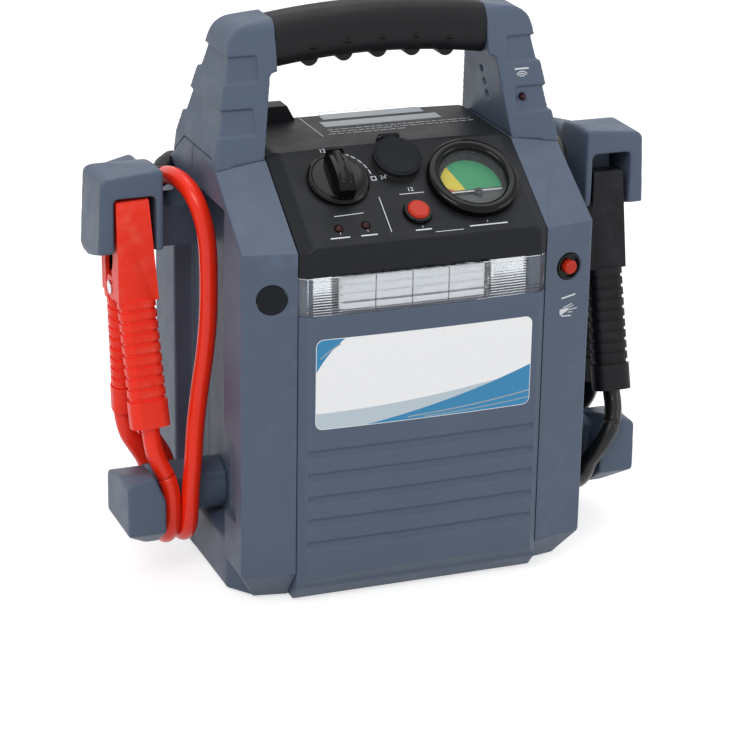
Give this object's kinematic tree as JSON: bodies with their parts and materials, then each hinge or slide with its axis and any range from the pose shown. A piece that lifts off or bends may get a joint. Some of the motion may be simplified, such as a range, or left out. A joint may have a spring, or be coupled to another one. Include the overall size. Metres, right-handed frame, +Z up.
{
  "type": "portable jump starter pack",
  "caption": "Portable vehicle jump starter pack with carrying handle, sloped control panel, work light and booster clamps stored in side docks.",
  "frame": {"origin": "centre of the ground footprint, on the floor under the rubber feet", "axes": "+X to the right seen from the front, +Y to the back, +Z up; the control panel slopes down towards -Y"},
  "size_m": [0.386, 0.2132, 0.378],
  "materials": {
    "shell_plastic": "fine satin texture",
    "shell_plastic_light": "fine satin texture",
    "black_plastic": "fine grained",
    "gloss_black_plastic": "polished",
    "red_plastic": "smooth",
    "red_rubber": "satin",
    "black_rubber": "satin",
    "grip_rubber": "soft touch",
    "clear_plastic": "clear, fluted",
    "meter_window": "clear",
    "silvered_plastic": "vacuum metallised",
    "steel": "zinc plated",
    "nickel_brass": "nickel plated",
    "copper_plate": "copper plated",
    "circuit_board": "solder mask",
    "battery_case": "moulded",
    "dial_print": "printed, coloured bands",
    "lamp_plastic": "tinted"
  },
  "bodies": {
    "housing": {"left_side_shell": "shell_plastic", "right_side_shell": "shell_plastic", "rear_shell": "shell_plastic", "base_plate": "black_plastic", "rubber_feet": "black_rubber", "front_panel": "shell_plastic", "control_panel": "black_plastic", "work_light_lens": "clear_plastic", "work_light_reflector": "silvered_plastic", "light_board": "circuit_board", "left_post": "shell_plastic_light", "right_post": "shell_plastic_light", "handle_bar": "steel", "handle_grip": "grip_rubber", "rear_lug": "black_plastic", "left_dock": "shell_plastic_light", "right_dock": "shell_plastic_light", "left_hook": "shell_plastic_light", "right_hook": "shell_plastic_light", "lead_glands": "black_rubber", "housing_screws": "steel", "battery_front": "battery_case", "battery_rear": "battery_case", "battery_bracket": "steel", "control_board": "circuit_board", "buzzer": "black_plastic", "selector_bezel": "gloss_black_plastic", "selector_switch": "black_plastic", "socket_barrel": "nickel_brass", "cap_hinge_pin": "steel", "meter_bezel": "gloss_black_plastic", "meter_body": "black_plastic", "meter_dial": "dial_print", "meter_lens": "meter_window", "test_switch": "gloss_black_plastic", "light_switch": "gloss_black_plastic", "indicator_lamps": "lamp_plastic", "charge_jack": "black_plastic", "red_lead": "red_rubber", "red_link_cable": "red_rubber", "black_lead": "black_rubber", "black_link_cable": "black_rubber"},
    "selector": {"selector_knob": "gloss_black_plastic"},
    "test_key": {"test_button": "red_plastic"},
    "light_key": {"light_button": "red_plastic"},
    "needle": {"meter_needle": "black_plastic"},
    "socket_lid": {"socket_cap": "black_rubber"},
    "jack_plug": {"charge_jack_cap": "black_rubber"},
    "red_clamp": {"red_rear_arm": "red_rubber", "red_rear_jaw": "copper_plate", "red_pivot_pin": "steel", "red_spring": "steel"},
    "red_front": {"red_front_arm": "red_rubber", "red_front_jaw": "copper_plate"},
    "black_clamp": {"black_rear_arm": "black_rubber", "black_rear_jaw": "copper_plate", "black_pivot_pin": "steel", "black_spring": "steel"},
    "black_front": {"black_front_arm": "black_rubber", "black_front_jaw": "copper_plate"}
  },
  "joints": [
    {"name": "selector_turn", "type": "hinge", "parent": "housing", "child": "selector", "pos_m": [-0.0455, -0.06174, 0.27618], "axis": [0, -0.5693, 0.8221], "range_deg": [-90, 0]},
    {"name": "test_button_press", "type": "slide", "parent": "housing", "child": "test_key", "axis": [0, 0.5693, -0.8221], "range_m": [0, 0.0025], "stiffness_N_per_m": 600, "springref_m": -0.002},
    {"name": "light_button_press", "type": "slide", "parent": "housing", "child": "light_key", "axis": [-0.1816, 0.9834, 0], "range_m": [0, 0.0025], "stiffness_N_per_m": 600, "springref_m": -0.002},
    {"name": "meter_needle_swing", "type": "hinge", "parent": "housing", "child": "needle", "pos_m": [0.047, -0.07385, 0.26293], "axis": [0, -0.5693, 0.8221], "range_deg": [-110, 0], "stiffness_Nm_per_rad": 0.0002, "springref_deg": 57.3},
    {"name": "socket_lid_open", "type": "hinge", "parent": "housing", "child": "socket_lid", "pos_m": [-0.002, -0.03874, 0.296], "axis": [-1, 0, 0], "range_deg": [0, 110]},
    {"name": "jack_plug_pull", "type": "slide", "parent": "housing", "child": "jack_plug", "axis": [-0.1816, -0.9834, 0], "range_m": [0, 0.012]},
    {"name": "red_clamp_draw", "type": "slide", "parent": "housing", "child": "red_clamp", "axis": [0.0523, 0, -0.9986], "range_m": [0, 0.02], "deforming": ["red_lead", "red_link_cable"]},
    {"name": "red_clamp_squeeze", "type": "hinge", "parent": "red_clamp", "child": "red_front", "pos_m": [-0.16638, -0.001, 0.20007], "axis": [0.9986, 0, 0.0523], "range_deg": [0, 15], "stiffness_Nm_per_rad": 1.5, "springref_deg": -20.05, "deforming": ["red_spring", "red_link_cable"]},
    {"name": "black_clamp_draw", "type": "slide", "parent": "housing", "child": "black_clamp", "axis": [0, -0.0958, -0.9954], "range_m": [0, 0.01], "deforming": ["black_lead", "black_link_cable"]},
    {"name": "black_clamp_squeeze", "type": "hinge", "parent": "black_clamp", "child": "black_front", "pos_m": [0.1665, -0.00699, 0.18833], "axis": [1, 0, 0], "range_deg": [0, 15], "stiffness_Nm_per_rad": 1.5, "springref_deg": -20.05, "deforming": ["black_spring", "black_link_cable"]}
  ]
}
